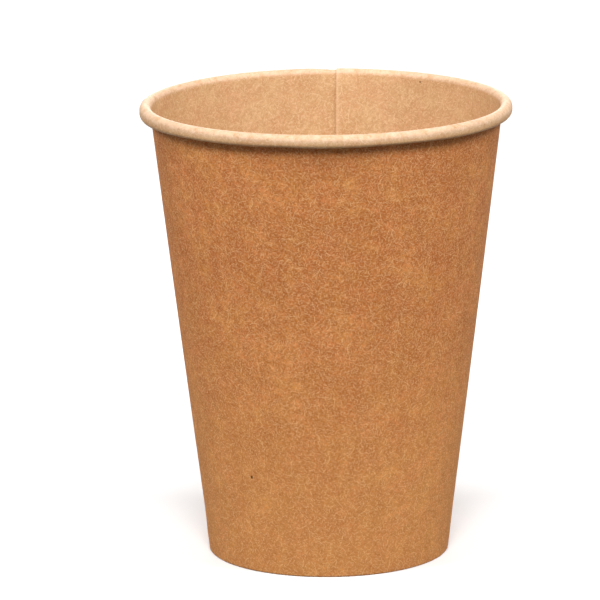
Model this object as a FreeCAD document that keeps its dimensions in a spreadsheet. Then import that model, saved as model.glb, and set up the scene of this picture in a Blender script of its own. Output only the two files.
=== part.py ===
# A single-wall paper cup of about 350 ml, made of two pieces of board, in millimetres.
# side_wall is a fan-shaped blank: wrapped into a cone, overlapped and sealed along one side seam,
# rolled outwards at the top into the rim, and folded inwards and up at the bottom into a hem.
# base_disc is a round blank whose edge is turned down into a skirt, clamped inside that hem.
# The origin is the middle of the foot on the table, +Z is up, and the seam is at the back (+Y).
import FreeCAD, Part
import math
import os

import Sketcher

Vector = FreeCAD.Vector

document = FreeCAD.newDocument("paper_cup")

# Driving dimensions
SIZES = [
    ("rim_diameter", 90.0, "across the rolled rim, the size a lid is made for"),
    ("cup_height", 110.8, "table to the top of the rim"),
    ("wall_slope", 7.0, "degrees between the wall and the vertical"),
    ("wall_board", 0.35, "thickness of the wall's board"),
    ("base_board", 0.30, "thickness of the base's board"),
    ("roll_hollow", 1.5, "width of the hollow in the roll, where the board is doubled"),
    ("roll_side", 0.6, "upright stretch on the outside of the roll"),
    ("curl_gap", 0.1, "between the curled-in edge and the doubled wall"),
    ("fold_radius", 0.05, "inside radius of the two corners of the fold under the skirt"),
    ("hem_height", 7.0, "table to the top edge of the hem"),
    ("base_recess", 8.6, "table to the underside of the base disc"),
    ("base_bend", 0.5, "inside radius where the disc turns down into its skirt"),
    ("skirt_clearance", 0.3, "between the skirt's edge and the doubled fold under it"),
    ("seam_azimuth", 86.5, "degrees from +X to the seam line that shows inside the cup"),
    ("overlap_angle", 8.6, "degrees over which the board lies double"),
    ("joggle_angle", 10.0, "degrees over which one ply steps out over the other"),
    ("roll_flats", 3, "short flats that round each upper quarter of the roll"),
    ("curl_flats", 4, "short flats that round the half turn under the roll"),
    ("fold_flats", 1, "short flats that round each corner of the fold"),
    ("bend_flats", 1, "short flats that round the bend of the base"),
]

sheet = document.addObject("Spreadsheet::Sheet", "Sizes")
for row, (alias, value, meaning) in enumerate(SIZES, start=1):
    sheet.set(f"A{row}", meaning)
    sheet.set(f"B{row}", str(value))
    sheet.setAlias(f"B{row}", alias)
document.recompute()

# Sizes that follow from the sheet, as formulas
WALL_BOARD = "Sizes.wall_board"
ROLL_RADIUS = f"(Sizes.roll_hollow / 2 + 2 * {WALL_BOARD})"
CURL_RADIUS = f"({ROLL_RADIUS} - {WALL_BOARD} - Sizes.curl_gap / 2)"
ROLL_CENTRE_X = f"(Sizes.rim_diameter / 2 - {ROLL_RADIUS})"
ROLL_CENTRE_Z = f"(Sizes.cup_height - {ROLL_RADIUS})"
WALL_TOP_X = f"({ROLL_CENTRE_X} - {ROLL_RADIUS} * cos(Sizes.wall_slope * 1 deg))"
WALL_TOP_Z = f"({ROLL_CENTRE_Z} + {ROLL_RADIUS} * sin(Sizes.wall_slope * 1 deg))"
DOUBLED_FOLD = f"(2 * {WALL_BOARD})"
JOGGLE_END = "(Sizes.seam_azimuth + Sizes.joggle_angle)"
DISC_TOP = "(Sizes.base_recess + Sizes.base_board)"
OUTER_BEND = "(Sizes.base_bend + Sizes.base_board)"
SKIRT_EDGE = f"({DOUBLED_FOLD} + Sizes.skirt_clearance)"
SKIRT_DROP = f"({WALL_TOP_Z} - {SKIRT_EDGE})"
SKIRT_FOOT = f"({WALL_TOP_X} - {SKIRT_DROP} * tan(Sizes.wall_slope * 1 deg))"

# What a sketch constraint calls the points of a line or an arc, and the sketch's own axes,
# which it counts down from -1
START, END, CENTRE = range(1, 4)
LEVEL_AXIS, UPRIGHT_AXIS = range(-1, -3, -1)
ORIGIN = (LEVEL_AXIS, START)


def worked_out(formula):
    """The number that a formula comes to with the sheet's present values."""
    return float(sheet.evalExpression(formula))


def dimension(sketch, name, formula, kind, *places):
    """Add a named length to a sketch and tie it to its formula on the sheet."""
    index = sketch.addConstraint(Sketcher.Constraint(kind, *places, worked_out(formula)))
    sketch.renameConstraint(index, name)
    sketch.setExpression(f"Constraints.{name}", formula)


def slope_dimension(sketch, line, turn):
    """Tie a line's angle from the sketch's X axis to the wall's slope plus a turn in degrees."""
    formula = f"{turn} - Sizes.wall_slope"
    angle = math.radians(worked_out(formula))
    index = sketch.addConstraint(Sketcher.Constraint("Angle", line, angle))
    sketch.renameConstraint(index, "slope")
    sketch.setExpression("Constraints.slope", f"({formula}) * 1 deg")


def arc(centre, radius, first, last):
    """An arc that runs anticlockwise from one angle to another, in radians."""
    circle = Part.Circle(centre, Vector(0, 0, 1), radius)
    return Part.ArcOfCircle(circle, first, last)


def line(first, last):
    return Part.LineSegment(first, last)


# The wall's line in the section plane: its skin is the inside face of the board, and it leaves
# the roll's circle as a tangent. The sketches start from it and their constraints keep it.
slope = math.radians(sheet.wall_slope)
roll_radius = worked_out(ROLL_RADIUS)
roll_centre = Vector(worked_out(ROLL_CENTRE_X), worked_out(ROLL_CENTRE_Z), 0)
up_the_wall = Vector(math.sin(slope), math.cos(slope), 0)
out_of_the_wall = Vector(math.cos(slope), -math.sin(slope), 0)
wall_top = roll_centre - out_of_the_wall * roll_radius


def on_wall(height, inset=0.0):
    """The point at a height on the wall's skin, or on a line that much further inside."""
    foot = wall_top - out_of_the_wall * inset
    return foot + up_the_wall * ((height - foot.y) / up_the_wall.y)


def skin_path(name, fold_level, azimuth):
    """The path of the board's inside face, from the hem's edge round the fold to the curled edge.

    It runs down the hem, under the skirt at fold_level, up the wall, over the roll and back in.
    """
    sketch = document.addObject("Sketcher::SketchObject", name)
    upright = f"rotationz({azimuth}) * rotationx(90)"
    sketch.setExpression("Placement", f"placement(vector(0; 0; 0); {upright})")

    level = worked_out(fold_level)
    fold_radius = sheet.fold_radius
    curl_radius = worked_out(CURL_RADIUS)
    quarter = 0.5 * math.pi
    side_top = roll_centre + Vector(roll_radius, 0, 0)
    side_foot = side_top - Vector(0, sheet.roll_side, 0)
    curl_centre = side_foot - Vector(curl_radius, 0, 0)
    inner_corner = on_wall(level + fold_radius, sheet.base_board - fold_radius)
    outer_corner = on_wall(level + fold_radius, fold_radius)
    drop = Vector(0, fold_radius, 0)
    sideways = out_of_the_wall * fold_radius

    hem, inner_fold, fold, outer_fold, wall, rise, fall, side, curl = sketch.addGeometry([
        line(on_wall(sheet.hem_height, sheet.base_board), inner_corner - sideways),
        arc(inner_corner, fold_radius, math.pi - slope, 3 * quarter),
        line(inner_corner - drop, outer_corner - drop),
        arc(outer_corner, fold_radius, -quarter, -slope),
        line(outer_corner + sideways, wall_top),
        arc(roll_centre, roll_radius, quarter, math.pi - slope),
        arc(roll_centre, roll_radius, 0.0, quarter),
        line(side_top, side_foot),
        arc(curl_centre, curl_radius, -math.pi, 0.0),
    ])
    joints = [
        (hem, END, inner_fold, START),
        (inner_fold, END, fold, START),
        (fold, END, outer_fold, START),
        (outer_fold, END, wall, START),
        (wall, END, rise, END),
        (rise, START, fall, END),
        (fall, START, side, START),
        (side, END, curl, END),
    ]
    for joint in joints:
        sketch.addConstraint(Sketcher.Constraint("Tangent", *joint))
    sketch.addConstraint(Sketcher.Constraint("Horizontal", fold))
    sketch.addConstraint(Sketcher.Constraint("Vertical", side))
    sketch.addConstraint(Sketcher.Constraint("Parallel", hem, wall))
    sketch.addConstraint(Sketcher.Constraint("Equal", inner_fold, outer_fold))
    sketch.addConstraint(Sketcher.Constraint("Equal", rise, fall))
    sketch.addConstraint(Sketcher.Constraint("Vertical", fall, CENTRE, fall, END))
    sketch.addConstraint(Sketcher.Constraint("Horizontal", curl, START, curl, CENTRE))
    slope_dimension(sketch, wall, 90)
    dimension(sketch, "fold_level", fold_level, "DistanceY", *ORIGIN, fold, START)
    dimension(sketch, "fold_radius", "Sizes.fold_radius", "Radius", inner_fold)
    dimension(sketch, "skirt_room", "Sizes.base_board", "Distance", wall, START, hem)
    dimension(sketch, "hem_height", "Sizes.hem_height", "DistanceY", *ORIGIN, hem, START)
    dimension(sketch, "roll_radius", ROLL_RADIUS, "Radius", fall)
    dimension(sketch, "roll_centre_x", ROLL_CENTRE_X, "DistanceX", *ORIGIN, fall, CENTRE)
    dimension(sketch, "roll_centre_z", ROLL_CENTRE_Z, "DistanceY", *ORIGIN, fall, CENTRE)
    dimension(sketch, "roll_side", "Sizes.roll_side", "DistanceY", side, END, side, START)
    dimension(sketch, "curl_radius", CURL_RADIUS, "Radius", curl)
    return sketch


def laid_in_flats(sketch, arc_flats):
    """The points of a sketched path, with the arcs laid out in short flats.

    arc_flats gives the number of flats for each arc, in the order in which they are drawn.
    """
    points = []
    flats_left = list(arc_flats)
    for piece in sketch.Geometry:
        is_arc = piece.TypeId == "Part::GeomArcOfCircle"
        flats = flats_left.pop(0) if is_arc else 1
        stretch = piece.toShape().discretize(Number=flats + 1)
        if points and (stretch[-1] - points[-1]).Length < (stretch[0] - points[-1]).Length:
            stretch.reverse()
        points += stretch[1:] if points else stretch
    return points


def beside(points, distance):
    """The same path moved to its right, so that each flat lies that distance away."""
    headings = [(after - before).normalize() for before, after in zip(points, points[1:])]
    rights = [Vector(heading.y, -heading.x, 0) for heading in headings]
    moved = [points[0] + rights[0] * distance]
    for point, before, after in zip(points[1:-1], rights, rights[1:]):
        moved.append(point + (before + after) * (distance / (1 + before.dot(after))))
    moved.append(points[-1] + rights[-1] * distance)
    return moved


def board_section(name, sketch, arc_flats, step, board):
    """The cut through a board whose face keeps a step's distance from the sketched path."""
    document.recompute()
    path = laid_in_flats(sketch, arc_flats)
    near = beside(path, step)
    far = beside(path, step + board)
    section = document.addObject("Part::Feature", name)
    section.Shape = Part.Face(Part.makePolygon(near + far[::-1] + near[:1]))
    section.Placement = sketch.Placement
    return section


def turned(name, section, angle):
    """A section of board carried round the cup's axis by an angle in degrees."""
    turn = document.addObject("Part::Revolution", name)
    turn.Source = section
    turn.Axis = Vector(0, 0, 1)
    turn.Base = Vector(0, 0, 0)
    turn.Solid = True
    turn.setExpression("Angle", angle)
    return turn


def side_wall():
    """The wrapped blank: single board, then the joggle, then two plies, fused into one piece.

    At the seam one end of the blank keeps the skin's line, and the other end has stepped out
    over it by one board. Away from the seam the blank lies single on the skin's line.
    """
    board = sheet.wall_board
    fold_flats = int(sheet.fold_flats)
    roll_flats = int(sheet.roll_flats)
    arc_flats = [fold_flats, fold_flats, roll_flats, roll_flats, int(sheet.curl_flats)]

    single_skin = skin_path("single_skin", WALL_BOARD, JOGGLE_END)
    single_board = board_section("single_board", single_skin, arc_flats, 0.0, board)
    round_the_cup = "360 - Sizes.overlap_angle - Sizes.joggle_angle"
    single_wall = turned("single_wall", single_board, round_the_cup)

    seam_skin = skin_path("seam_skin", DOUBLED_FOLD, "Sizes.seam_azimuth")
    inner_board = board_section("inner_board", seam_skin, arc_flats, 0.0, board)
    inner_ply = turned("inner_ply", inner_board, "-Sizes.overlap_angle")
    outer_board = board_section("outer_board", seam_skin, arc_flats, board, board)
    outer_ply = turned("outer_ply", outer_board, "-Sizes.overlap_angle")

    halfway = "(Sizes.seam_azimuth + Sizes.joggle_angle / 2)"
    halfway_level = f"(1.5 * {WALL_BOARD})"
    halfway_skin = skin_path("halfway_skin", halfway_level, halfway)
    halfway_board = board_section("halfway_board", halfway_skin, arc_flats, board / 2, board)
    joggle = document.addObject("Part::Loft", "joggle")
    joggle.Sections = [single_board, halfway_board, outer_board]
    joggle.Ruled = True
    joggle.Solid = True

    wall = document.addObject("Part::MultiFuse", "side_wall")
    wall.Shapes = [single_wall, joggle, outer_ply, inner_ply]
    return wall


def base_disc():
    """The round blank, with its skirt turned down along the inside of the wall."""
    sketch = document.addObject("Sketcher::SketchObject", "disc_face")
    sketch.setExpression("Placement", "placement(vector(0; 0; 0); rotationx(90))")

    outer_bend = worked_out(OUTER_BEND)
    disc_level = worked_out(DISC_TOP)
    bend_centre = on_wall(disc_level - outer_bend, outer_bend)
    skirt_top = bend_centre + out_of_the_wall * outer_bend
    skirt_edge = on_wall(worked_out(SKIRT_EDGE))
    middle = Vector(0, disc_level, 0)

    disc, bend, skirt = sketch.addGeometry([
        line(middle, bend_centre + Vector(0, outer_bend, 0)),
        arc(bend_centre, outer_bend, -slope, 0.5 * math.pi),
        line(skirt_top, skirt_edge),
    ])
    sketch.addConstraint(Sketcher.Constraint("Tangent", disc, END, bend, END))
    sketch.addConstraint(Sketcher.Constraint("Tangent", bend, START, skirt, START))
    sketch.addConstraint(Sketcher.Constraint("PointOnObject", disc, START, UPRIGHT_AXIS))
    sketch.addConstraint(Sketcher.Constraint("Horizontal", disc))
    slope_dimension(sketch, skirt, -90)
    dimension(sketch, "disc_top", DISC_TOP, "DistanceY", *ORIGIN, disc, START)
    dimension(sketch, "outer_bend", OUTER_BEND, "Radius", bend)
    dimension(sketch, "skirt_edge", SKIRT_EDGE, "DistanceY", *ORIGIN, skirt, END)
    dimension(sketch, "skirt_foot", SKIRT_FOOT, "DistanceX", *ORIGIN, skirt, END)

    bend_flats = int(sheet.bend_flats)
    disc_board = board_section("disc_board", sketch, [bend_flats], 0.0, sheet.base_board)
    return turned("base_disc", disc_board, "360")


sub_parts = [side_wall(), base_disc()]
document.recompute()

for item in document.Objects:
    if "Invalid" in item.State or "Error" in item.State:
        raise RuntimeError(f"{item.Name} is {item.State}")
    if item.TypeId == "Sketcher::SketchObject" and item.solve() != 0:
        raise RuntimeError(f"{item.Name} can't be solved")

for sub_part in sub_parts:
    shape = sub_part.Shape
    if shape.isNull() or not shape.isValid() or len(shape.Solids) != 1:
        raise RuntimeError(f"{sub_part.Label} isn't one valid solid")

os.makedirs("parts", exist_ok=True)
for sub_part in sub_parts:
    sub_part.Shape.exportStep(f"parts/{sub_part.Label}.step")
    box = sub_part.Shape.BoundBox
    print(f"{sub_part.Label}: {sub_part.Shape.Volume:.1f} mm3, {box.XLength:.2f} x {box.YLength:.2f} x "
          f"{box.ZLength:.2f} mm, from z {box.ZMin:.3f}")
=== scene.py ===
# %% [markdown]
# # A rolled-rim paper cup
#
# A paper cup is two pieces of board. One is a fan-shaped blank, wrapped into a cone, sealed along
# one side, rolled outwards at the top and folded in at the bottom. The other is a round base with
# a skirt that the bottom fold clamps. This lesson makes the cup in the same order as the machine
# does: first the line that the board follows, then the wrap, then the base, then the finishes.
# Everything is in metres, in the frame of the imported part: the foot stands at z = 0 and the seam
# is at the back, towards +Y.

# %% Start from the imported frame
import math

import bmesh
import bpy
from mathutils import Matrix, Vector


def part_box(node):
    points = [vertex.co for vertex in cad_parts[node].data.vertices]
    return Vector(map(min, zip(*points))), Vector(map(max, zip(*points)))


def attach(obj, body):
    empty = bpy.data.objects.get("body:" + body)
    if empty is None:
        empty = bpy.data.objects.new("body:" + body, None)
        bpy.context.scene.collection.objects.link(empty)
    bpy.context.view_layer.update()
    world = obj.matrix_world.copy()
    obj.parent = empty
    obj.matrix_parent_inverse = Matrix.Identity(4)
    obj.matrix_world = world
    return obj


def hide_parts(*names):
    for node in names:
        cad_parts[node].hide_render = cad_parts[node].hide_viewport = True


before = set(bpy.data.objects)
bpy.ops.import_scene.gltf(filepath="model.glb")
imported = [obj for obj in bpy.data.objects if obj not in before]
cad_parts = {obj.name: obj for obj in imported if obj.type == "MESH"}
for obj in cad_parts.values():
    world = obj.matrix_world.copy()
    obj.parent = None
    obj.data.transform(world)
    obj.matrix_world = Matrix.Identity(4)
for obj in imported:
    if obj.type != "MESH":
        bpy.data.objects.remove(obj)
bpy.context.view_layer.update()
_, wall_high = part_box("side_wall")
base_low, base_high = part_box("base_disc")
print("side_wall reaches", [round(1000 * c, 2) for c in wall_high], "mm")

# %% [markdown]
# ## The line that the board follows
#
# On the real cup the inside face of the board is one unbroken line: down the hem, round the fold
# in which the base's skirt stands, up the wall, over the rim and back in under it. It could be
# drawn as a curve, but a chain of vertices keeps the number of segments in each bend in our
# hands. Each straight stretch is an extruded vertex and each bend is a vertex that spins.

# %% Sizes of the board and its bends
MM = 0.001
UP = Vector((0, 0, 1))
BOARD = 0.35 * MM
PLY_GAP = 0.015 * MM
BASE_BOARD = 0.30 * MM
SLOPE = math.radians(7.0)
ROLL_RADIUS = 1.45 * MM
CURL_RADIUS = 1.05 * MM
ROLL_SIDE = 0.6 * MM
FOLD_RADIUS = 0.05 * MM
HEM_HEIGHT = 7.0 * MM
SEAM_AZIMUTH = 86.5
OVERLAP = 8.6
JOGGLE = 10.0
FULL_TURN = 360.0
OVERLAP_FADE = 4.0

up_the_wall = Vector((math.sin(SLOPE), 0, math.cos(SLOPE)))
out_of_the_wall = Vector((math.cos(SLOPE), 0, -math.sin(SLOPE)))
roll_centre = Vector((wall_high.x - ROLL_RADIUS, 0, wall_high.z - ROLL_RADIUS))
wall_top = roll_centre - out_of_the_wall * ROLL_RADIUS


def on_wall(height, inset=0.0):
    """The point at a height on the wall's inside face, or that much further in."""
    foot = wall_top - out_of_the_wall * inset
    return foot + up_the_wall * ((height - foot.z) / up_the_wall.z)


print("inside face at the table:", round(1000 * on_wall(0).x, 2), "mm from the axis")

# %% Helpers that draw the line one stretch at a time


def draw_to(bm, tip, place, steps):
    """Extrude the tip vertex to a place, in equal steps."""
    step = (place - tip.co) / steps
    for _ in range(steps):
        made = bmesh.ops.extrude_vert_indiv(bm, verts=[tip])
        tip = made["verts"][0]
        bmesh.ops.translate(bm, vec=step, verts=[tip])
    return tip


def bend_round(bm, tip, centre, degrees, steps):
    """Spin the tip vertex round a centre in the XZ plane, towards +X from +Z when positive."""
    made = bmesh.ops.spin(bm, geom=[tip], cent=centre, axis=(0, 1, 0), dvec=(0, 0, 0),
                          angle=math.radians(degrees), steps=steps, use_duplicate=False)
    return [item for item in made["geom_last"] if isinstance(item, bmesh.types.BMVert)][0]


# %% Draw the board's inside face from the hem's edge to the curled edge
slope_degrees = math.degrees(SLOPE)
inner_corner = on_wall(BOARD + FOLD_RADIUS, BASE_BOARD - FOLD_RADIUS)
outer_corner = on_wall(BOARD + FOLD_RADIUS, FOLD_RADIUS)
fold_drop = Vector((0, 0, FOLD_RADIUS))
curl_centre = roll_centre + Vector((ROLL_RADIUS - CURL_RADIUS, 0, -ROLL_SIDE))

wrap = bmesh.new()
tip = bmesh.ops.create_vert(wrap, co=on_wall(HEM_HEIGHT, BASE_BOARD))["vert"][0]
tip = draw_to(wrap, tip, inner_corner - out_of_the_wall * FOLD_RADIUS, 9)
tip = bend_round(wrap, tip, inner_corner, -90 + slope_degrees, 3)
tip = draw_to(wrap, tip, outer_corner - fold_drop, 1)
tip = bend_round(wrap, tip, outer_corner, -90 - slope_degrees, 3)
fold_last = len(wrap.verts) - 1
tip = draw_to(wrap, tip, on_wall(4 * MM), 4)
tip = draw_to(wrap, tip, on_wall(100 * MM), 24)
tip = draw_to(wrap, tip, wall_top, 6)
wall_last = len(wrap.verts) - 1
tip = bend_round(wrap, tip, roll_centre, 180 - slope_degrees, 18)
tip = draw_to(wrap, tip, roll_centre + Vector((ROLL_RADIUS, 0, -ROLL_SIDE)), 1)
tip = bend_round(wrap, tip, curl_centre, 180, 14)
wrap.verts.ensure_lookup_table()
print("stations along the line:", len(wrap.verts), "ending at",
      [round(1000 * c, 2) for c in tip.co])

# %% [markdown]
# ## Wrap the line round the cup
#
# The machine winds the flat blank round a cone-shaped mandrel until its ends overlap. A lathe of
# the whole circle would lose that seam, so the line is spun one short step at a time and goes on
# past the full turn, by as much as the ends overlap. Two layers on the vertices remember where
# each one was on the flat blank: how far along the line, and how far round.

# %% Number the stations along the line
along = wrap.verts.layers.float.new("along")
turned = wrap.verts.layers.float.new("turned")
across = wrap.verts.layers.float_vector.new("across")
line = list(wrap.verts)
for before, vert in zip(line, line[1:]):
    vert[along] = before[along] + (vert.co - before.co).length
for index, vert in enumerate(line):
    heading = line[min(index + 1, len(line) - 1)].co - line[max(index - 1, 0)].co
    vert[across] = heading.cross(Vector((0, -1, 0))).normalized()
fold_end = line[fold_last][along]
lip_start = line[wall_last][along]
print("the line is", round(1000 * line[-1][along], 2), "mm long and reaches the lip at",
      round(1000 * lip_start, 2), "mm")

# %% Spin it past the full turn, clockwise from the inner end
bmesh.ops.rotate(wrap, verts=line, cent=(0, 0, 0),
                 matrix=Matrix.Rotation(math.radians(SEAM_AZIMUTH), 3, "Z"))
edge_of_blank = line + list(wrap.edges)
turn = 0.0
stretches = [(OVERLAP, 8), (FULL_TURN - OVERLAP - JOGGLE, 244), (JOGGLE, 10), (OVERLAP, 8)]
for degrees, steps in stretches:
    for _ in range(steps):
        made = bmesh.ops.spin(wrap, geom=edge_of_blank, cent=(0, 0, 0), axis=(0, 0, 1),
                              dvec=(0, 0, 0), angle=-math.radians(degrees / steps), steps=1,
                              use_duplicate=False)
        edge_of_blank = made["geom_last"]
        turn += degrees / steps
        for item in edge_of_blank:
            if isinstance(item, bmesh.types.BMVert):
                item[turned] = turn
print("wound through", round(turn, 1), "degrees,", len(wrap.faces), "faces")

# %% [markdown]
# ## The overlapped seam
#
# Where the ends of the blank overlap, one ply has to step out by the thickness of the board. On
# the real cup that step is pressed in over a finger's width of the wall, so here the outer end
# leaves the cone gradually. The fold at the foot is lifted where it is doubled, because the cup
# stands on it. Sculpting could do this, but the blank's own coordinates do it exactly.


# %% Step the outer ply out and lift the doubled fold
def ease(value, start, end):
    """Goes smoothly from 0 at start to 1 at end."""
    share = min(max((value - start) / (end - start), 0.0), 1.0)
    return share * share * (3 - 2 * share)


def spun(direction, vert):
    """A direction in the line's plane, carried to where the vertex stands."""
    round_by = math.atan2(vert.co.y, vert.co.x)
    return Matrix.Rotation(round_by, 3, "Z") @ direction


def at_the_seam(vert):
    """How far the board has stepped out there, and how far it lies double."""
    stepped = ease(vert[turned], FULL_TURN - JOGGLE, FULL_TURN)
    doubled = max(stepped, 1 - ease(vert[turned], OVERLAP, OVERLAP + OVERLAP_FADE))
    return stepped, doubled


ply_step = BOARD + PLY_GAP
for vert in wrap.verts:
    stepped, doubled = at_the_seam(vert)
    near_fold = 1 - ease(vert[along], fold_end, fold_end + 3 * MM)
    rise = spun(up_the_wall, vert) * (ply_step / up_the_wall.z * doubled * near_fold)
    step = spun(vert[across], vert) * (ply_step * stepped)
    vert.co += rise + step
print("plies are", round(1000 * ply_step, 3), "mm apart at the seam")

# %% [markdown]
# ## What the machine leaves uneven
#
# A drawn cone is too perfect for paper. The hem presses the foot out a little, the wall springs
# into a slight oval, the rim leans by a fraction of a millimetre, and the roll is looser on one
# side than the other and tighter where the board is double. Each of these is a small, smooth
# push on the vertices, less than the board is thick, so that the cup still reads as one sheet.


# %% Spring the wall and the base
FLARE = 0.16 * MM
MORE_FLARE_AT_THE_LEFT = 0.06 * MM
OVAL = 0.12 * MM
LEAN = 0.30 * MM

def about_the_axis(vert):
    """A vertex's azimuth, and the level direction that leads away from the axis there."""
    azimuth = math.atan2(vert.co.y, vert.co.x)
    return azimuth, Vector((math.cos(azimuth), math.sin(azimuth), 0))


def spring(vert):
    """Press the foot out, make the wall slightly oval and lower the rim at the left."""
    azimuth, outwards = about_the_axis(vert)
    height = min(vert.co.z / wall_high.z, 1.0)
    wall_radius = on_wall(vert.co.z).x
    share = min(math.hypot(vert.co.x, vert.co.y) / wall_radius, 1.0)
    flare = FLARE - MORE_FLARE_AT_THE_LEFT * math.cos(azimuth)
    flare *= 1 - ease(vert.co.z, 2 * MM, 11 * MM)
    oval = OVAL * math.cos(2 * azimuth) * math.sin(math.pi * height)
    lean = LEAN * max(-vert.co.x / wall_high.x, 0.0) ** 1.5 * height ** 2
    vert.co += outwards * ((flare + oval) * share) - UP * lean


for vert in wrap.verts:
    spring(vert)
print("foot pressed out by", round(1000 * (FLARE + MORE_FLARE_AT_THE_LEFT), 2), "mm at the left")

# %% Loosen the roll in some places and tighten it in others
# Azimuth in degrees, half width in degrees and drop in millimetres
HANGS = ((187, 45, 0.30), (-65, 22, -0.26), (-103, 12, -0.16), (80, 30, 0.06))
PINCH = 0.28 * MM


def bump_at(azimuth, middle, half_width):
    """1 at an azimuth in degrees, falling smoothly to 0 at the half width on either side."""
    off = math.remainder(math.degrees(azimuth) - middle, 360)
    return 1 - ease(abs(off), 0, half_width)


for vert in wrap.verts:
    azimuth, outwards = about_the_axis(vert)
    rolled = ease(vert[along], lip_start - 3 * MM, lip_start + 2 * MM)
    under = ease(vert[along], lip_start + 4.5 * MM, lip_start + 6.5 * MM)
    wave = math.sin(3 * azimuth + 0.8) + 0.7 * math.sin(7 * azimuth + 2.1) + \
        0.5 * math.sin(13 * azimuth + 4.0)
    tight = 0.05 + 0.022 * wave + 0.18 * bump_at(azimuth, 20, 75)
    hang = 0.04 + 0.02 * wave + sum(drop * bump_at(azimuth, middle, half_width)
                                    for middle, half_width, drop in HANGS)
    vert.co -= outwards * (rolled * tight * MM) + UP * (under * hang * MM)
    _, doubled = at_the_seam(vert)
    pinched = ease(vert[along], lip_start - 2.5 * MM, lip_start + 0.4 * MM) * \
        (1 - ease(vert[along], lip_start + 0.8 * MM, lip_start + 2.2 * MM))
    vert.co += outwards * (PINCH * doubled * pinched)
print("roll changed at", len(HANGS), "places and at the seam")

# %% [markdown]
# ## The blank as a UV map
#
# Board has a grain that was there before the cup was wrapped, so the two plies at the seam must
# not share one pattern. A cone unrolls into a fan without stretching, and that fan makes a UV
# map in real metres: every pattern below reads it, and keeps its size all over the cup.

# %% Unroll the cone into a UV map
blank = wrap.loops.layers.uv.new("blank")
winding = wrap.loops.layers.uv.new("winding")
wear_and_edge_highlight = wrap.verts.layers.float.new("wear_and_edge_highlight")
apex_to_lip = wall_top.x / math.sin(SLOPE)
for face in wrap.faces:
    face.smooth = True
    for loop in face.loops:
        reach = apex_to_lip + loop.vert[along] - lip_start
        fan = math.radians(loop.vert[turned]) * math.sin(SLOPE)
        loop[blank].uv = (reach * math.sin(fan), reach * math.cos(fan) - apex_to_lip + 0.06)
        loop[winding].uv = (math.radians(loop.vert[turned]) * wall_top.x, loop.vert[along])
# paler near the blank's cut edges: partly pressed, worn board and partly a painted highlight on the
# seam's edge
for vert in wrap.verts:
    from_cut = math.radians(min(vert[turned], FULL_TURN + OVERLAP - vert[turned])) * wall_top.x
    vert[wear_and_edge_highlight] = 1 - ease(from_cut, 0, 1.1 * MM)

# %% Turn the skin towards the inside of the cup and give it the board's thickness
def as_object(bm, name):
    """An object made of a finished bmesh, with its open edges left sharp."""
    for edge in bm.edges:
        if edge.is_boundary:
            edge.smooth = False
    mesh = bpy.data.meshes.new(name)
    bm.to_mesh(mesh)
    bm.free()
    made = bpy.data.objects.new(name, mesh)
    bpy.context.scene.collection.objects.link(made)
    return made


def thicken(piece, thickness):
    """Give a skin its thickness, with slots of their own for its back and its cut edge."""
    board = piece.modifiers.new("board", "SOLIDIFY")
    board.thickness = thickness
    board.offset = -1
    board.use_even_offset = True
    board.material_offset = 1
    board.material_offset_rim = 2
    return board


bmesh.ops.recalc_face_normals(wrap, faces=wrap.faces)
on_the_right = Vector((40 * MM, 0, 80 * MM))
probe = min(wrap.faces, key=lambda f: (f.calc_center_median() - on_the_right).length)
if probe.normal.x > 0:
    bmesh.ops.reverse_faces(wrap, faces=wrap.faces)
cup_wall = as_object(wrap, "cup_wall")
thicken(cup_wall, BOARD).use_quality_normals = True
print("skin of the wall:", len(cup_wall.data.vertices), "vertices")

# %% [markdown]
# ## The base
#
# The base is a disc pressed into a shallow cap. Its skirt stands in the fold, between the wall
# and the hem, so it only needs its true outline where it shows: flat in the middle, a tight bend
# at the rim and a straight skirt. It is the one piece of the cup that a plain lathe describes
# well, so its line is drawn as before and spun once all the way round.

# %% Draw and spin the base's upper face
bend_radius = 0.8 * MM
slack = 0.02 * MM
disc_level = base_high.z
bend_centre = on_wall(disc_level - bend_radius, bend_radius + slack)
cap = bmesh.new()
tip = bmesh.ops.create_vert(cap, co=(0, 0, disc_level))["vert"][0]
tip = draw_to(cap, tip, bend_centre + Vector((0, 0, bend_radius)), 12)
tip = bend_round(cap, tip, bend_centre, 90 + slope_degrees, 8)
tip = draw_to(cap, tip, on_wall(base_low.z, slack), 3)
bmesh.ops.spin(cap, geom=list(cap.verts) + list(cap.edges), cent=(0, 0, 0), axis=(0, 0, 1),
               dvec=(0, 0, 0), angle=math.radians(360), steps=180, use_merge=True,
               use_duplicate=False)
bmesh.ops.remove_doubles(cap, verts=cap.verts, dist=0.001 * MM)
bmesh.ops.recalc_face_normals(cap, faces=cap.faces)
cap.faces.ensure_lookup_table()
if max(cap.faces, key=lambda f: f.calc_center_median().z).normal.z < 0:
    bmesh.ops.reverse_faces(cap, faces=cap.faces)
for face in cap.faces:
    face.smooth = True
for vert in cap.verts:
    spring(vert)
cup_base = as_object(cap, "cup_base")
thicken(cup_base, BASE_BOARD - 2 * slack)
print("base:", len(cup_base.data.vertices), "vertices, disc at", round(1000 * disc_level, 2), "mm")

# %% [markdown]
# ## Kraft board
#
# Unbleached board is brown because its fibres are, and no two fibres have the same brown. Close
# up it shows a cloudy mottle, short curled fibres lighter and darker than the rest, and a rare
# speck of bark. A photograph of board would do, but it would tile and hold its own light, so the
# finish is built from noise on the blank's own coordinates, in millimetres.

# %% Node helpers


def add(tree, kind, at, **settings):
    """A node with its settings and socket values in one line."""
    node = tree.nodes.new(kind)
    node.location = at
    for name, value in settings.items():
        if name in node.inputs:
            node.inputs[name].default_value = value
        else:
            setattr(node, name, value)
    return node


def srgb(red, green, blue):
    """A colour as it reads on the screen, 0 to 255, turned into light."""
    def light(part):
        part /= 255
        return part / 12.92 if part <= 0.04045 else ((part + 0.055) / 1.055) ** 2.4
    return (light(red), light(green), light(blue), 1.0)


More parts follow.
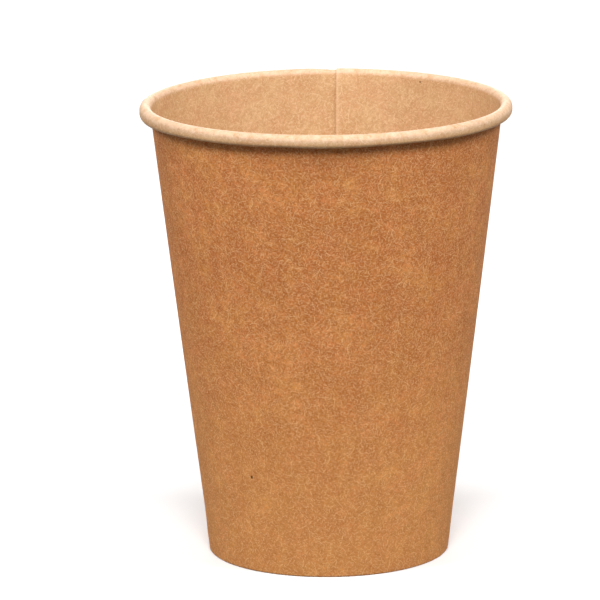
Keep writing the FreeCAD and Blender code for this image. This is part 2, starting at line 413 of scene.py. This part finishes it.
def ramp(tree, source, low, high, at):
    """Stretches a pattern so that low becomes 0 and high becomes 1."""
    node = add(tree, "ShaderNodeMapRange", at, interpolation_type="SMOOTHSTEP")
    node.inputs["From Min"].default_value = low
    node.inputs["From Max"].default_value = high
    tree.links.new(source, node.inputs["Value"])
    return node.outputs["Result"]


def tint(tree, base, colour, amount, at):
    """Lays a colour over a base by an amount that another node gives."""
    node = add(tree, "ShaderNodeMix", at, data_type="RGBA")
    tree.links.new(amount, node.inputs["Factor"])
    if isinstance(base, tuple):
        node.inputs["A"].default_value = base
    else:
        tree.links.new(base, node.inputs["A"])
    node.inputs["B"].default_value = colour
    return node.outputs["Result"]


def scaled(tree, source, factor, at):
    """A pattern made weaker or stronger."""
    node = add(tree, "ShaderNodeMath", at, operation="MULTIPLY")
    tree.links.new(source, node.inputs[0])
    node.inputs[1].default_value = factor
    return node.outputs[0]


def both(tree, first, second, operation, at):
    """Two patterns put together by one sum."""
    node = add(tree, "ShaderNodeMath", at, operation=operation)
    tree.links.new(first, node.inputs[0])
    tree.links.new(second, node.inputs[1])
    return node.outputs[0]


# %% Patterns in the board, with their sizes in millimetres
def millimetres(tree, uv_map, shift):
    """The blank's coordinates in millimetres, moved so that two finishes don't repeat."""
    source = add(tree, "ShaderNodeUVMap", (-1600, 0), uv_map=uv_map) if uv_map else \
        add(tree, "ShaderNodeTexCoord", (-1600, 0))
    mapping = add(tree, "ShaderNodeMapping", (-1400, 0))
    mapping.inputs["Scale"].default_value = (1000, 1000, 1000)
    mapping.inputs["Location"].default_value = shift
    tree.links.new(source.outputs["UV" if uv_map else "Object"], mapping.inputs["Vector"])
    return mapping.outputs["Vector"]


def mottle(tree, place, size, detail, at):
    """Cloudy noise whose blotches are about that many millimetres across."""
    node = add(tree, "ShaderNodeTexNoise", at, Scale=1 / size, Detail=detail, Roughness=0.6)
    tree.links.new(place, node.inputs["Vector"])
    return node.outputs["Fac"]


def strands(tree, place, cell, length, width, share, seed, at):
    """Single fibres: at most one in each random cell, turned and bent its own way."""
    x, y = at
    moved = add(tree, "ShaderNodeMapping", at, Location=(seed, 2 * seed, 0))
    tree.links.new(place, moved.inputs["Vector"])
    cells = add(tree, "ShaderNodeTexVoronoi", (x + 200, y), voronoi_dimensions="2D", Scale=1 / cell)
    tree.links.new(moved.outputs["Vector"], cells.inputs["Vector"])
    chance = add(tree, "ShaderNodeSeparateColor", (x + 400, y - 200))
    tree.links.new(cells.outputs["Color"], chance.inputs["Color"])
    from_middle = add(tree, "ShaderNodeVectorMath", (x + 400, y), operation="SUBTRACT")
    tree.links.new(moved.outputs["Vector"], from_middle.inputs[0])
    tree.links.new(cells.outputs["Position"], from_middle.inputs[1])
    turned_by = scaled(tree, chance.outputs["Red"], 2 * math.pi, (x + 600, y - 200))
    lay = add(tree, "ShaderNodeVectorRotate", (x + 800, y), rotation_type="Z_AXIS")
    tree.links.new(from_middle.outputs["Vector"], lay.inputs["Vector"])
    tree.links.new(turned_by, lay.inputs["Angle"])
    part = add(tree, "ShaderNodeSeparateXYZ", (x + 1000, y))
    tree.links.new(lay.outputs["Vector"], part.inputs["Vector"])
    squared = both(tree, part.outputs["X"], part.outputs["X"], "MULTIPLY", (x + 1200, y))
    bend = ramp(tree, chance.outputs["Green"], 0.0, 1.0, (x + 1000, y - 200))
    bowed = both(tree, squared, scaled(tree, bend, 1.4 / length, (x + 1200, y - 200)),
                 "MULTIPLY", (x + 1400, y))
    off_line = both(tree, part.outputs["Y"], bowed, "SUBTRACT", (x + 1600, y))
    aside = add(tree, "ShaderNodeMath", (x + 1800, y), operation="ABSOLUTE")
    tree.links.new(off_line, aside.inputs[0])
    lengthways = add(tree, "ShaderNodeMath", (x + 1800, y - 200), operation="ABSOLUTE")
    tree.links.new(part.outputs["X"], lengthways.inputs[0])
    body = ramp(tree, aside.outputs[0], width, 0.2 * width, (x + 2000, y))
    ends = ramp(tree, lengthways.outputs[0], 0.5 * length, 0.3 * length, (x + 2000, y - 200))
    kept = ramp(tree, chance.outputs["Blue"], share, share - 0.02, (x + 2000, y - 400))
    fibre = both(tree, body, ends, "MULTIPLY", (x + 2200, y))
    return both(tree, fibre, kept, "MULTIPLY", (x + 2400, y))


def specks(tree, place, size, share, at):
    """Small round spots in a few of the cells of a random grid."""
    cells = add(tree, "ShaderNodeTexVoronoi", at, Scale=1 / size)
    tree.links.new(place, cells.inputs["Vector"])
    spot = ramp(tree, cells.outputs["Distance"], 0.08, 0.03, (at[0] + 200, at[1]))
    parts = add(tree, "ShaderNodeSeparateColor", (at[0] + 200, at[1] - 200))
    tree.links.new(cells.outputs["Color"], parts.inputs["Color"])
    chosen = ramp(tree, parts.outputs["Red"], share, share - 0.01, (at[0] + 400, at[1] - 200))
    return both(tree, spot, chosen, "MULTIPLY", (at[0] + 600, at[1]))


# %% Marks that only one face of the wall has
def wound(tree, at):
    """Millimetres round the cup and along the board's line, from the second UV map."""
    source = add(tree, "ShaderNodeUVMap", at, uv_map="winding")
    mapping = add(tree, "ShaderNodeMapping", (at[0] + 200, at[1]), Scale=(1000, 1000, 1000))
    tree.links.new(source.outputs["UV"], mapping.inputs["Vector"])
    return mapping.outputs["Vector"]


def rolled_share(tree, place, at):
    """1 on the rolled rim and 0 below it, and the same for the crest alone."""
    part = add(tree, "ShaderNodeSeparateXYZ", at)
    tree.links.new(place, part.inputs["Vector"])
    roll = ramp(tree, part.outputs["Y"], 1000 * lip_start - 0.4, 1000 * lip_start + 0.6,
                (at[0] + 200, at[1]))
    inner_side = ramp(tree, part.outputs["Y"], 1000 * lip_start + 5.3, 1000 * lip_start + 3.7,
                      (at[0] + 200, at[1] - 300))
    return roll, both(tree, roll, inner_side, "MULTIPLY", (at[0] + 400, at[1] - 300))


ROLL_HIGHLIGHT = srgb(243, 213, 188)
CREASE_SHADE = srgb(166, 116, 80)


def paint_highlight_and_shade_on_the_roll(tree, colour, relief):
    """Painted highlight in pale blotches on the roll's crest, and painted shade in its creases."""
    place = wound(tree, (-1600, -4200))
    share, crest = rolled_share(tree, place, (-1200, -4400))
    highlit = ramp(tree, mottle(tree, place, 1.8, 4.0, (-1200, -4200)), 0.14, 0.70, (-1000, -4200))
    crease_shade = ramp(tree, mottle(tree, place, 0.9, 3.0, (-1200, -4600)), 0.44, 0.26, (-1000, -4600))
    highlit = both(tree, scaled(tree, highlit, 0.55, (-800, -4200)), crest, "MULTIPLY", (-600, -4200))
    crease_shade = scaled(tree, crease_shade, 0.36, (-800, -4600))
    crease_shade = both(tree, crease_shade, share, "MULTIPLY", (-600, -4600))
    # painted highlight: pale colour laid on the crest, so the roll's underside stays darker as if in
    # shade
    colour = tint(tree, colour, ROLL_HIGHLIGHT, highlit, (2820, 150))
    # painted shade: darker colour in the roll's creases
    colour = tint(tree, colour, CREASE_SHADE, crease_shade, (2860, 150))
    return colour, both(tree, relief, highlit, "ADD", (2000, -700))


FLECK = (1000 * math.radians(211.7) * wall_top.x, 1000 * lip_start - 86.0, 0)
FLECK_BROWN = srgb(60, 26, 10)
STREAK = srgb(168, 84, 30)
FOOT_LIT_FROM_BELOW = srgb(246, 184, 110)


def mark_the_outside(tree, colour, relief):
    """Faint streaks, painted light from below, one fleck of bark, and the hem's pressed pattern."""
    place = wound(tree, (-1600, -4200))
    part = add(tree, "ShaderNodeSeparateXYZ", (-1200, -4200))
    tree.links.new(place, part.inputs["Vector"])
    pressed = ramp(tree, part.outputs["Y"], 1000 * HEM_HEIGHT - 1.0, 1000 * HEM_HEIGHT - 1.6,
                   (-1000, -4200))
    lines = []
    for angle in (50, -50):
        leaning = add(tree, "ShaderNodeMapping", (-1200, -4500 + angle),
                      Rotation=(0, 0, math.radians(angle)))
        tree.links.new(place, leaning.inputs["Vector"])
        wave = add(tree, "ShaderNodeTexWave", (-1000, -4500 + angle), Scale=0.28)
        tree.links.new(leaning.outputs["Vector"], wave.inputs["Vector"])
        lines.append(wave.outputs["Fac"])
    long_ways = add(tree, "ShaderNodeMapping", (-1200, -4900), Scale=(0.25, 0.016, 1))
    tree.links.new(place, long_ways.inputs["Vector"])
    streaks = ramp(tree, mottle(tree, long_ways.outputs["Vector"], 1.0, 2.0, (-1000, -4900)),
                   0.35, 0.70, (-800, -4900))
    streaks = scaled(tree, streaks, 0.13, (-600, -4900))
    colour = tint(tree, colour, STREAK, streaks, (2820, 150))
    # painted light from below: the wall turns paler towards the foot, as if lit by the table
    lit_from_below = ramp(tree, part.outputs["Y"], 1000 * lip_start - 30, 1000 * fold_end + 5, (-1000, -5200))
    lit_from_below = scaled(tree, lit_from_below, 0.20, (-800, -5200))
    colour = tint(tree, colour, FOOT_LIT_FROM_BELOW, lit_from_below, (2840, 150))
    from_fleck = add(tree, "ShaderNodeVectorMath", (-1000, -5500), operation="DISTANCE")
    tree.links.new(place, from_fleck.inputs[0])
    from_fleck.inputs[1].default_value = FLECK
    fleck = ramp(tree, from_fleck.outputs["Value"], 0.55, 0.25, (-800, -5500))
    fleck = scaled(tree, fleck, 0.9, (-600, -5500))
    colour = tint(tree, colour, FLECK_BROWN, fleck, (2860, 150))
    crossed = both(tree, lines[0], lines[1], "MINIMUM", (-800, -4500))
    crossed = scaled(tree, crossed, 2.5, (-600, -4500))
    knurl = both(tree, crossed, pressed, "MULTIPLY", (-400, -4500))
    return colour, both(tree, relief, knurl, "ADD", (2000, -700))


# %% One recipe for every face of the board
SPECK = srgb(74, 44, 24)


def kraft(name, uv_map, shift, base, ruddy, pale, dark, strength, roughness, gloss, bump,
          marks=None):
    """A board finish: its two browns, its fibres' two browns, and how strongly they show."""
    material = bpy.data.materials.new(name)
    material.use_nodes = True
    tree = material.node_tree
    tree.nodes.clear()
    place = millimetres(tree, uv_map, shift)
    hue = ramp(tree, mottle(tree, place, 7.0, 3.0, (-1200, 1300)), 0.32, 0.68, (-1000, 1300))
    drift = ramp(tree, mottle(tree, place, 28.0, 2.0, (-1200, 1100)), 0.35, 0.65, (-1000, 1100))
    clouds = ramp(tree, mottle(tree, place, 9.0, 4.0, (-1200, 900)), 0.32, 0.68, (-1000, 900))
    blotch = ramp(tree, mottle(tree, place, 2.6, 3.0, (-1200, 700)), 0.32, 0.68, (-1000, 700))
    grain = ramp(tree, mottle(tree, place, 0.9, 4.0, (-1200, 500)), 0.30, 0.70, (-1000, 500))
    fine = ramp(tree, mottle(tree, place, 0.45, 2.0, (-1200, 300)), 0.30, 0.72, (-1000, 300))
    pale_short = strands(tree, place, 0.80, 0.8, 0.13, 0.85, 11.0, (-1200, 0))
    dark_short = strands(tree, place, 0.90, 0.9, 0.14, 0.80, 47.0, (-1200, -700))
    pale_long = strands(tree, place, 1.6, 1.6, 0.12, 0.60, 83.0, (-1200, -1400))
    dark_long = strands(tree, place, 1.8, 1.6, 0.12, 0.60, 131.0, (-1200, -2100))
    curl = strands(tree, place, 4.0, 3.8, 0.12, 0.35, 171.0, (-1200, -2800))
    bark = specks(tree, place, 5.0, 0.035, (-1200, -3500))

    colour = tint(tree, base, ruddy, hue, (1000, 1000))
    layers = ((drift, dark, 0.34), (clouds, dark, 0.48), (blotch, dark, 0.62), (grain, dark, 0.56),
              (fine, pale, 0.34), (dark_short, dark, 0.44), (pale_short, pale, 0.44),
              (dark_long, dark, 0.44), (pale_long, pale, 0.46), (curl, pale, 0.48))
    for layer, (pattern, shade, share) in enumerate(layers):
        amount = scaled(tree, pattern, share * strength, (1200 + 150 * layer, 700))
        colour = tint(tree, colour, shade, amount, (1200 + 150 * layer, 900))
    # paler along the cut edges: partly wear, partly a painted highlight on the seam's edge
    worn_and_highlit = add(tree, "ShaderNodeAttribute", (1400, -800), attribute_name="wear_and_edge_highlight")
    worn_and_highlit = scaled(tree, worn_and_highlit.outputs["Fac"], 0.35, (1600, -500))
    colour = tint(tree, colour, pale, worn_and_highlit, (2700, 150))
    colour = tint(tree, colour, SPECK, scaled(tree, bark, 0.75, (1400, -450)), (2780, 100))

    relief = both(tree, scaled(tree, grain, 0.8, (1400, -600)), pale_short, "ADD", (1600, -600))
    relief = both(tree, relief, pale_long, "ADD", (1800, -600))
    if marks:
        colour, relief = marks(tree, colour, relief)
    skin = add(tree, "ShaderNodeBump", (2800, -300), Strength=bump, Distance=0.02 * MM)
    tree.links.new(relief, skin.inputs["Height"])
    shader = add(tree, "ShaderNodeBsdfPrincipled", (3200, 100), Roughness=roughness)
    shader.inputs["Specular IOR Level"].default_value = gloss
    tree.links.new(colour, shader.inputs["Base Color"])
    tree.links.new(skin.outputs["Normal"], shader.inputs["Normal"])
    output = add(tree, "ShaderNodeOutputMaterial", (3500, 100))
    tree.links.new(shader.outputs["BSDF"], output.inputs["Surface"])
    return material


# %% [markdown]
# ## Four faces of two boards
#
# The inside face of a hot cup has a thin film on it, which makes it paler and smoother, and the
# rolled rim shows that same face. The outside is bare kraft. The cut edge is the raw middle of
# the board, which has neither a film nor long fibres. The slots follow what Solidify expects:
# skin, back of the board, rim.

# %% Give each piece its three faces
INSIDE = (srgb(214, 177, 129), srgb(217, 166, 124), srgb(240, 210, 172), srgb(178, 127, 78))
OUTSIDE = (srgb(230, 154, 76), srgb(235, 142, 81), srgb(245, 201, 144), srgb(163, 81, 27))
RAW_EDGE = (srgb(186, 134, 88), srgb(190, 130, 88), srgb(214, 166, 118), srgb(140, 92, 54))
LINED = {"strength": 0.75, "roughness": 0.62, "gloss": 0.12, "bump": 0.3}
BARE = {"strength": 1.0, "roughness": 0.75, "gloss": 0.12, "bump": 0.5}
CUT = {"strength": 0.8, "roughness": 0.85, "gloss": 0.1, "bump": 0.5}
lined = kraft("lined_kraft", "blank", (3, 5, 0), *INSIDE, **LINED, marks=paint_highlight_and_shade_on_the_roll)
bare = kraft("bare_kraft", "blank", (61, 23, 0), *OUTSIDE, **BARE, marks=mark_the_outside)
cut = kraft("cut_edge", "blank", (17, 41, 0), *RAW_EDGE, **CUT)
base_lined = kraft("lined_base", None, (9, 71, 0), *INSIDE, **LINED)
base_bare = kraft("bare_base", None, (31, 13, 0), *OUTSIDE, **BARE)
for material in (lined, bare, cut):
    cup_wall.data.materials.append(material)
for material in (base_lined, base_bare, base_bare):
    cup_base.data.materials.append(material)
print("finishes:", [m.name for m in bpy.data.materials])

# %% Each piece takes the place of its plain CAD node
for piece, node, finish in ((cup_wall, "side_wall", "kraft_wall_board"),
                            (cup_base, "base_disc", "kraft_base_board")):
    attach(piece, "root")
    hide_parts(node)

# %% [markdown]
# ## The table, the light and the camera
#
# A cup on a white table in a white room. The room's own light fills every side. Three soft panels,
# above the camera and to its left and right, shape the rim and light the far wall inside, and one
# stands low behind the cup. The table is a white surface, so that it goes white in the picture
# and still holds the shadow at the cup's foot.

# %% Which rays look, and which only light
def looking(tree, light_path):
    """1 for a ray that the camera, a reflection or a see-through piece looks along."""
    rays = light_path.outputs
    straight = both(tree, rays["Is Camera Ray"], rays["Is Transmission Ray"], "MAXIMUM",
                    (-400, 300))
    return both(tree, straight, rays["Is Glossy Ray"], "MAXIMUM", (-200, 300))


# %% White table
top = bmesh.new()
bmesh.ops.create_grid(top, x_segments=1, y_segments=1, size=6.0)
table = as_object(top, "table")
table_white = bpy.data.materials.new("table_white")
table_white.use_nodes = True
table_tree = table_white.node_tree
table_tree.nodes.clear()
seen = add(table_tree, "ShaderNodeBsdfDiffuse", (-200, 100), Color=(0.93, 0.93, 0.93, 1))
thrown = add(table_tree, "ShaderNodeBsdfDiffuse", (-200, -100), Color=(0.1, 0.1, 0.1, 1))
by_ray = add(table_tree, "ShaderNodeMixShader", (0, 0))
table_ray = add(table_tree, "ShaderNodeLightPath", (-600, 200))
table_out = add(table_tree, "ShaderNodeOutputMaterial", (200, 0))
table_tree.links.new(looking(table_tree, table_ray), by_ray.inputs["Fac"])
table_tree.links.new(thrown.outputs["BSDF"], by_ray.inputs[1])
table_tree.links.new(seen.outputs["BSDF"], by_ray.inputs[2])
table_tree.links.new(by_ray.outputs["Shader"], table_out.inputs["Surface"])
table.data.materials.append(table_white)

# %% The room's light
room = bpy.data.worlds.new("white_room")
room.use_nodes = True
room_tree = room.node_tree
room_tree.nodes.clear()
ray = add(room_tree, "ShaderNodeLightPath", (-600, 200))
fill = add(room_tree, "ShaderNodeBackground", (-200, 100), Strength=0.4)
white = add(room_tree, "ShaderNodeBackground", (-200, -100), Strength=1.0)
pick = add(room_tree, "ShaderNodeMixShader", (0, 0))
sky = add(room_tree, "ShaderNodeOutputWorld", (200, 0))
fill.inputs["Color"].default_value = (1, 1, 1, 1)
white.inputs["Color"].default_value = (1, 1, 1, 1)
room_tree.links.new(looking(room_tree, ray), pick.inputs["Fac"])
room_tree.links.new(fill.outputs["Background"], pick.inputs[1])
room_tree.links.new(white.outputs["Background"], pick.inputs[2])
room_tree.links.new(pick.outputs["Shader"], sky.inputs["Surface"])
bpy.context.scene.world = room


# %% Soft panels in a ring round the cup
LOOKS_AT = Vector((0, 0, 60 * MM))
PANEL_DISTANCE = 2.2
PANEL_SIZE = 0.8
# Azimuth and elevation in degrees, and power in watts
PANELS = ((0, 41, 31), (65, 42, 23), (-65, 42, 23), (180, 8, 20))


def panel(name, azimuth, elevation, power):
    """A round area lamp that looks at the cup; azimuth 0 is the camera's side."""
    towards = Vector((math.sin(azimuth) * math.cos(elevation),
                      -math.cos(azimuth) * math.cos(elevation), math.sin(elevation)))
    lamp = bpy.data.lights.new(name, "AREA")
    lamp.shape = "DISK"
    lamp.size = PANEL_SIZE
    lamp.energy = power
    holder = bpy.data.objects.new(name, lamp)
    holder.location = LOOKS_AT + towards * PANEL_DISTANCE
    holder.rotation_euler = towards.to_track_quat("Z", "Y").to_euler()
    bpy.context.scene.collection.objects.link(holder)


for azimuth, elevation, power in PANELS:
    panel(f"panel_{azimuth % 360}", math.radians(azimuth), math.radians(elevation), power)
print("lamps:", len(bpy.data.lights))

# %% [markdown]
# The camera stands where the photograph was taken from. Its place was found by fitting the
# outlines of the rim and the wall: far away, a little above the rim, with the cup slightly right
# of the middle. The picture is square, so one focal length serves both ways.

# %% Camera at the photograph's place
SENSOR_WIDTH = 36
PICTURE_PIXELS = 600
FOCAL_PIXELS = 5406.8
DISTANCE = 1.3122
ELEVATION = math.radians(12.803)
ROLL = math.radians(0.387)
AIM = Vector((0, 0, 60 * MM))
SEEN_RIGHT, SEEN_UP = 27.505, -6.674

back = Vector((0, -math.cos(ELEVATION), math.sin(ELEVATION)))
forward = -back
right = Vector((1, 0, 0))
up = right.cross(forward)
pan = math.atan2(SEEN_RIGHT, FOCAL_PIXELS)
tilt = math.atan2(SEEN_UP, math.hypot(FOCAL_PIXELS, SEEN_RIGHT))
panned = math.cos(pan) * forward - math.sin(pan) * right
level = math.cos(pan) * right + math.sin(pan) * forward
ahead = math.cos(tilt) * panned - math.sin(tilt) * up
upward = math.cos(tilt) * up + math.sin(tilt) * panned
camera_right = math.cos(ROLL) * level - math.sin(ROLL) * upward
camera_up = math.sin(ROLL) * level + math.cos(ROLL) * upward

camera_data = bpy.data.cameras.new("camera")
camera_data.sensor_width = SENSOR_WIDTH
camera_data.lens = SENSOR_WIDTH * FOCAL_PIXELS / PICTURE_PIXELS
camera = bpy.data.objects.new("camera", camera_data)
axes = Matrix((camera_right, camera_up, -ahead)).transposed().to_4x4()
camera.matrix_world = Matrix.Translation(AIM + back * DISTANCE) @ axes
bpy.context.scene.collection.objects.link(camera)
bpy.context.scene.camera = camera
bpy.context.scene.view_settings.view_transform = "Standard"
print("lens", round(camera_data.lens, 1), "mm")
